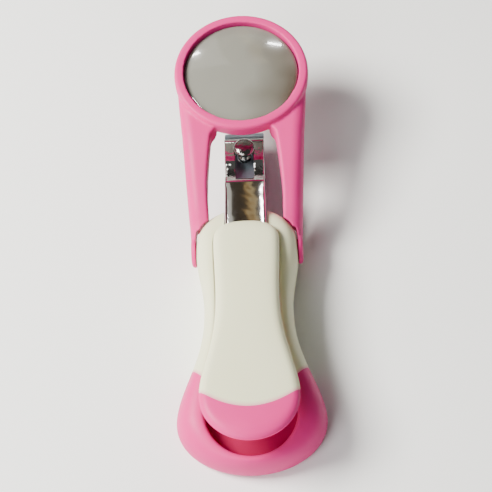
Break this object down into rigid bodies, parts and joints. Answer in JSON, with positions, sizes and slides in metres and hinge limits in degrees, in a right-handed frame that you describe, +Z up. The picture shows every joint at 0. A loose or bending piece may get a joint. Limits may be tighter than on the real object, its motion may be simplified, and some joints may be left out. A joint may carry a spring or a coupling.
{
  "type": "lever nail clipper with magnifier",
  "caption": "Lever nail clipper in a flared soft handle, with a thumb lever over sprung steel jaws and a round magnifying lens that swings up on a forked arm.",
  "frame": {"origin": "on the flat underside of the handle, straight below the magnifier's hinge axis", "axes": "+Y along the clipper towards the jaws and the lens, +X to the right across it, +Z up, away from the surface it rests on"},
  "size_m": [0.0342, 0.114, 0.0259],
  "materials": {
    "white_grip": "soft-touch satin",
    "pink_shell": "soft satin",
    "chrome_steel": "polished plating",
    "fastener_steel": "plain turned steel",
    "clear_acrylic": "polished clear acrylic",
    "friction_rubber": "matte"
  },
  "bodies": {
    "handle": {"handle_shell": "white_grip", "handle_tail": "pink_shell", "bottom_cover": "pink_shell", "cover_screw_front_left": "fastener_steel", "cover_screw_front_right": "fastener_steel", "cover_screw_waist": "fastener_steel", "cover_screw_tail_left": "fastener_steel", "cover_screw_tail_right": "fastener_steel", "lower_jaw": "chrome_steel", "leaf_rivet": "fastener_steel", "clipper_retaining_pin": "fastener_steel", "jaw_post": "chrome_steel", "hinge_screw_left": "fastener_steel", "hinge_screw_right": "fastener_steel", "friction_washer_left": "friction_rubber", "friction_washer_right": "friction_rubber"},
    "upper_leaf": {"upper_jaw": "chrome_steel"},
    "lever": {"lever_plate": "chrome_steel", "lever_cap": "white_grip", "lever_tail_pad": "pink_shell", "lever_under_cover": "pink_shell", "lever_screw_front": "fastener_steel", "lever_screw_rear": "fastener_steel"},
    "magnifier": {"magnifier_frame": "pink_shell", "magnifier_lens": "clear_acrylic", "lens_retaining_ring": "pink_shell"}
  },
  "joints": [
    {"name": "lever_press", "type": "hinge", "parent": "handle", "child": "lever", "pos_m": [0, 0.0286, 0.0122], "axis": [1, 0, 0], "range_deg": [0, 5], "stiffness_Nm_per_rad": 3, "springref_deg": -1.15},
    {"name": "jaw_close", "type": "hinge", "parent": "handle", "child": "upper_leaf", "pos_m": [0, -0.015, 0.0056], "axis": [-1, 0, 0], "range_deg": [0, 1.35]},
    {"name": "magnifier_swing", "type": "hinge", "parent": "handle", "child": "magnifier", "pos_m": [0, 0, 0.007], "axis": [1, 0, 0], "range_deg": [0, 75]}
  ],
  "couplings": [
    {"joint": "jaw_close", "follows": "lever_press", "ratio": 0.26}
  ]
}
